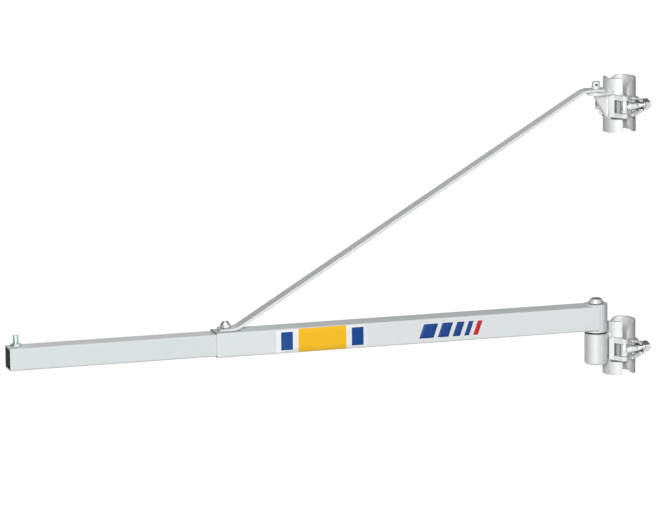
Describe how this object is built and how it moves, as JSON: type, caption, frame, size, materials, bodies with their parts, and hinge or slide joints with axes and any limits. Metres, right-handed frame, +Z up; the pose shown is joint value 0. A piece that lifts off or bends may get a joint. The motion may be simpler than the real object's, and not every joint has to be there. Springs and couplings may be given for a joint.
{
  "type": "hoist jib arm",
  "caption": "Swivelling hoist jib arm for a scaffold pole: telescopic square-tube boom with a bent flat tie bar, carried by two hinged swing-bolt pole clamps.",
  "frame": {"origin": "pole axis at the middle of the lower clamp", "axes": "+Z up the pole, arm along -X at rest, label face of the arm on -Y"},
  "size_m": [1.2018, 0.0866, 0.55],
  "materials": {
    "arm": "smooth silver-grey paint, satin",
    "extension": "smooth silver-grey paint, satin",
    "tie_bar": "silver-grey paint, satin",
    "clamp": "pale silver paint over forged and pressed steel",
    "zinc": "bright zinc plate",
    "bush": "sintered bronze"
  },
  "bodies": {
    "base": {"lower_collar": "clamp", "lower_bolt_bracket": "clamp", "lower_hinge_bracket": "clamp", "lower_hinge_pin": "zinc", "upper_collar": "clamp", "upper_bolt_bracket": "clamp", "upper_hinge_bracket": "clamp", "upper_hinge_pin": "zinc", "pivot_bracket": "clamp", "lug_plate": "clamp", "lug_gusset": "clamp", "tie_pin": "zinc", "tie_clip": "zinc", "king_pin": "zinc", "king_clip": "zinc", "king_washer": "zinc", "thrust_washer": "zinc"},
    "lower_cap": {"lower_cap_shell": "clamp", "lower_cap_strap": "clamp"},
    "upper_cap": {"upper_cap_shell": "clamp", "upper_cap_strap": "clamp"},
    "lower_bolt": {"lower_swing_bolt": "zinc"},
    "upper_bolt": {"upper_swing_bolt": "zinc"},
    "lower_nut": {"lower_flange_nut": "zinc"},
    "upper_nut": {"upper_flange_nut": "zinc"},
    "arm": {"arm_tube": "arm", "arm_boss": "arm", "bush_lower": "bush", "bush_upper": "bush", "tie_bar": "tie_bar", "foot_stud": "zinc", "cap_nut": "zinc", "lock_nut": "zinc", "lock_screw": "zinc"},
    "extension": {"extension_tube": "extension", "stop_bolt": "zinc", "stop_nut": "zinc"}
  },
  "joints": [
    {"name": "arm_swivel", "type": "hinge", "parent": "base", "child": "arm", "pos_m": [-0.05029, -0.01673, 0], "axis": [0, 0, 1], "range_deg": [-71.6, 108.4]},
    {"name": "arm_extension", "type": "slide", "parent": "arm", "child": "extension", "axis": [1, 0, 0], "range_m": [0, 0.35]},
    {"name": "lower_bolt_swing", "type": "hinge", "parent": "base", "child": "lower_bolt", "pos_m": [-0.004, -0.0408, 0], "axis": [0, 0, -1], "range_deg": [0, 90]},
    {"name": "lower_nut_slack", "type": "slide", "parent": "lower_bolt", "child": "lower_nut", "axis": [0.9489, 0.3156, 0], "range_m": [0, 0.006]},
    {"name": "lower_cap_slack", "type": "hinge", "parent": "base", "child": "lower_cap", "pos_m": [-0.02765, 0.03028, 0], "axis": [0, 0, 1], "range_deg": [0, 4.13]},
    {"name": "upper_bolt_swing", "type": "hinge", "parent": "base", "child": "upper_bolt", "pos_m": [-0.004, -0.0408, 0.45], "axis": [0, 0, -1], "range_deg": [0, 90]},
    {"name": "upper_nut_slack", "type": "slide", "parent": "upper_bolt", "child": "upper_nut", "axis": [0.9489, 0.3156, 0], "range_m": [0, 0.006]},
    {"name": "upper_cap_slack", "type": "hinge", "parent": "base", "child": "upper_cap", "pos_m": [-0.02765, 0.03028, 0.45], "axis": [0, 0, 1], "range_deg": [0, 4.13]}
  ],
  "couplings": [
    {"joint": "lower_cap_slack", "follows": "lower_nut_slack", "rad_per_m": 12.014},
    {"joint": "upper_cap_slack", "follows": "upper_nut_slack", "rad_per_m": 12.014}
  ]
}
